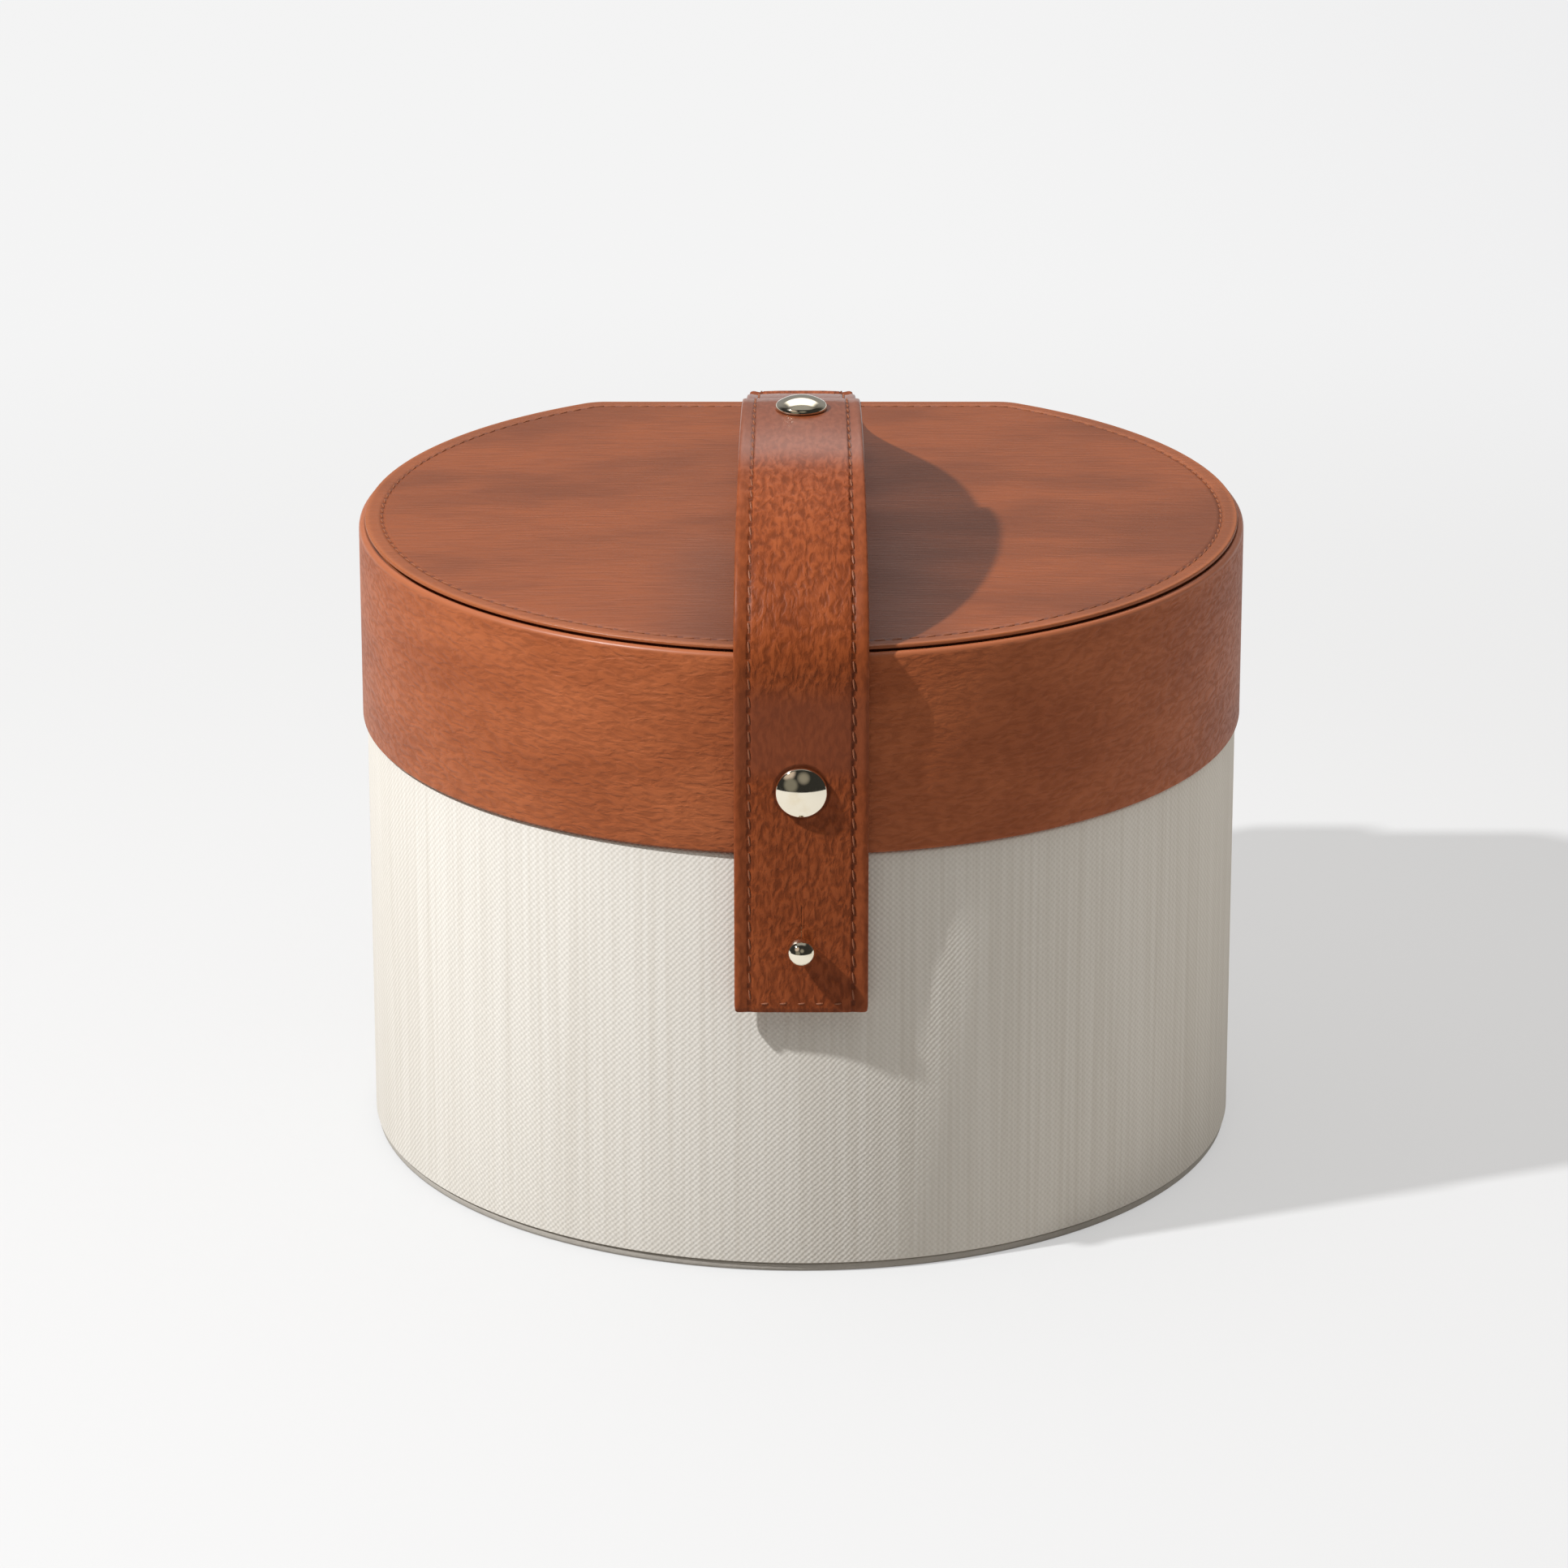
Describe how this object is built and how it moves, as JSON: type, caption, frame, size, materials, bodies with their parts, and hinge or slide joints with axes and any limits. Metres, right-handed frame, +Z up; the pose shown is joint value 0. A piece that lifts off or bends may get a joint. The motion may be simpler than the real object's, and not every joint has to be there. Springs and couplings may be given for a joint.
{
  "type": "vanity case",
  "caption": "Round flat-backed vanity case: linen-covered drum, hinged leather lid, and a leather strap that is both carrying handle and button-down closing tab.",
  "frame": {"origin": "centre of the round plan, on the underside that the case stands on", "axes": "+Z up, -Y towards the front with the closing tab, +Y towards the flat hinge side, +X to the right seen from the front"},
  "size_m": [0.2198, 0.2216, 0.1988],
  "materials": {
    "tan_leather": "glazed tan leather with a pebbled, creased grain",
    "linen": "off-white linen weave with upright slubs",
    "lining": "soft brushed suede-cloth lining",
    "fibreboard": "bare pressed fibreboard",
    "dark_underside": "matt dark leathercloth",
    "gold_fittings": "polished pale gold plating",
    "mirror": "silvered glass"
  },
  "bodies": {
    "base": {"base_panel": "dark_underside", "floor_board": "fibreboard", "base_wall": "fibreboard", "linen_cover": "linen", "neck_collar": "fibreboard", "base_lining": "lining", "floor_pad": "lining", "ball_stud": "gold_fittings", "stud_screw": "gold_fittings", "hinge_base_leaf_left": "gold_fittings", "hinge_base_leaf_right": "gold_fittings", "hinge_pin_left": "gold_fittings", "hinge_pin_right": "gold_fittings", "base_screw_left_outer": "gold_fittings", "base_screw_left_inner": "gold_fittings", "base_screw_right_outer": "gold_fittings", "base_screw_right_inner": "gold_fittings"},
    "lid": {"lid_wall": "fibreboard", "lid_top_board": "fibreboard", "leather_band": "tan_leather", "top_panel": "tan_leather", "lid_lining": "lining", "mirror_frame": "lining", "lid_mirror": "mirror", "handle_strap_front": "tan_leather", "handle_strap_back": "tan_leather", "front_rivet_cap": "gold_fittings", "front_rivet_post": "gold_fittings", "crown_rivet_cap": "gold_fittings", "crown_rivet_post": "gold_fittings", "back_rivet_cap": "gold_fittings", "back_rivet_post": "gold_fittings", "hinge_lid_leaf_left": "gold_fittings", "hinge_lid_leaf_right": "gold_fittings", "lid_screw_left_outer": "gold_fittings", "lid_screw_left_inner": "gold_fittings", "lid_screw_right_outer": "gold_fittings", "lid_screw_right_inner": "gold_fittings"},
    "tab": {"strap_tab": "tan_leather"}
  },
  "joints": [
    {"name": "lid_hinge", "type": "hinge", "parent": "base", "child": "lid", "pos_m": [0, 0.0983, 0.10785], "axis": [-1, 0, 0], "range_deg": [0, 100]},
    {"name": "tab_flex", "type": "hinge", "parent": "lid", "child": "tab", "pos_m": [0, -0.1116, 0.1171], "axis": [-1, 0, 0], "range_deg": [0, 75], "deforming": ["strap_tab"]}
  ]
}
